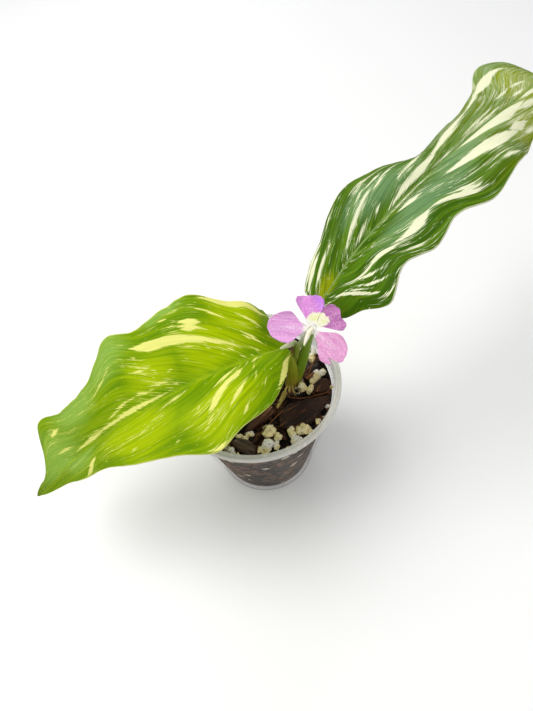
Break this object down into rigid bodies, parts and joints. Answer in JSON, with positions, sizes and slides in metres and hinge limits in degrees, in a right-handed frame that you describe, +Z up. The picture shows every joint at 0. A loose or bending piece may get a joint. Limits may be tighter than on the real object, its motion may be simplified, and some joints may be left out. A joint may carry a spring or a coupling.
{
  "type": "potted variegated peacock ginger",
  "caption": "Young ginger plant with cream-streaked waved leaves and a lilac flower, in a small translucent nursery pot filled with bark and grain mix.",
  "frame": {"origin": "centre of the pot's flat base, on the surface it stands on", "axes": "+Z up; +X towards the tip of the rising leaf, along the plant's widest spread; -Y is the side of the pot the flower faces"},
  "size_m": [0.2318, 0.123, 0.1321],
  "materials": {
    "pot_plastic": "smooth translucent grey-white, slightly cloudy",
    "potting_mix": "damp coarse crumbs with pale grains",
    "red_bark": "damp, finely ridged along the grain",
    "grey_bark": "dry, rough",
    "dry_tissue": "papery, fibrous",
    "sheath_tissue": "satin, faintly ribbed",
    "lime_leaf": "satin with a soft sheen, streaked cream",
    "deep_leaf": "satin with a silvery sheen, streaked cream",
    "pale_tissue": "soft, slightly waxy",
    "lilac_petal": "soft, velvety"
  },
  "bodies": {
    "root": {"pot": "pot_plastic", "potting_mix": "potting_mix", "bark_chip_large": "red_bark", "bark_chip_striped": "red_bark", "bark_chunk_fibrous": "red_bark", "bark_chip_small": "red_bark", "bark_chip_grey": "grey_bark", "root_stub": "dry_tissue", "dry_sheath_strip": "dry_tissue", "outer_sheath": "sheath_tissue", "leaf_left": "lime_leaf", "leaf_right": "deep_leaf", "floral_tube": "pale_tissue", "staminode_left": "lilac_petal", "staminode_lower": "lilac_petal", "lip": "lilac_petal", "anther_crest": "pale_tissue"}
  },
  "joints": []
}
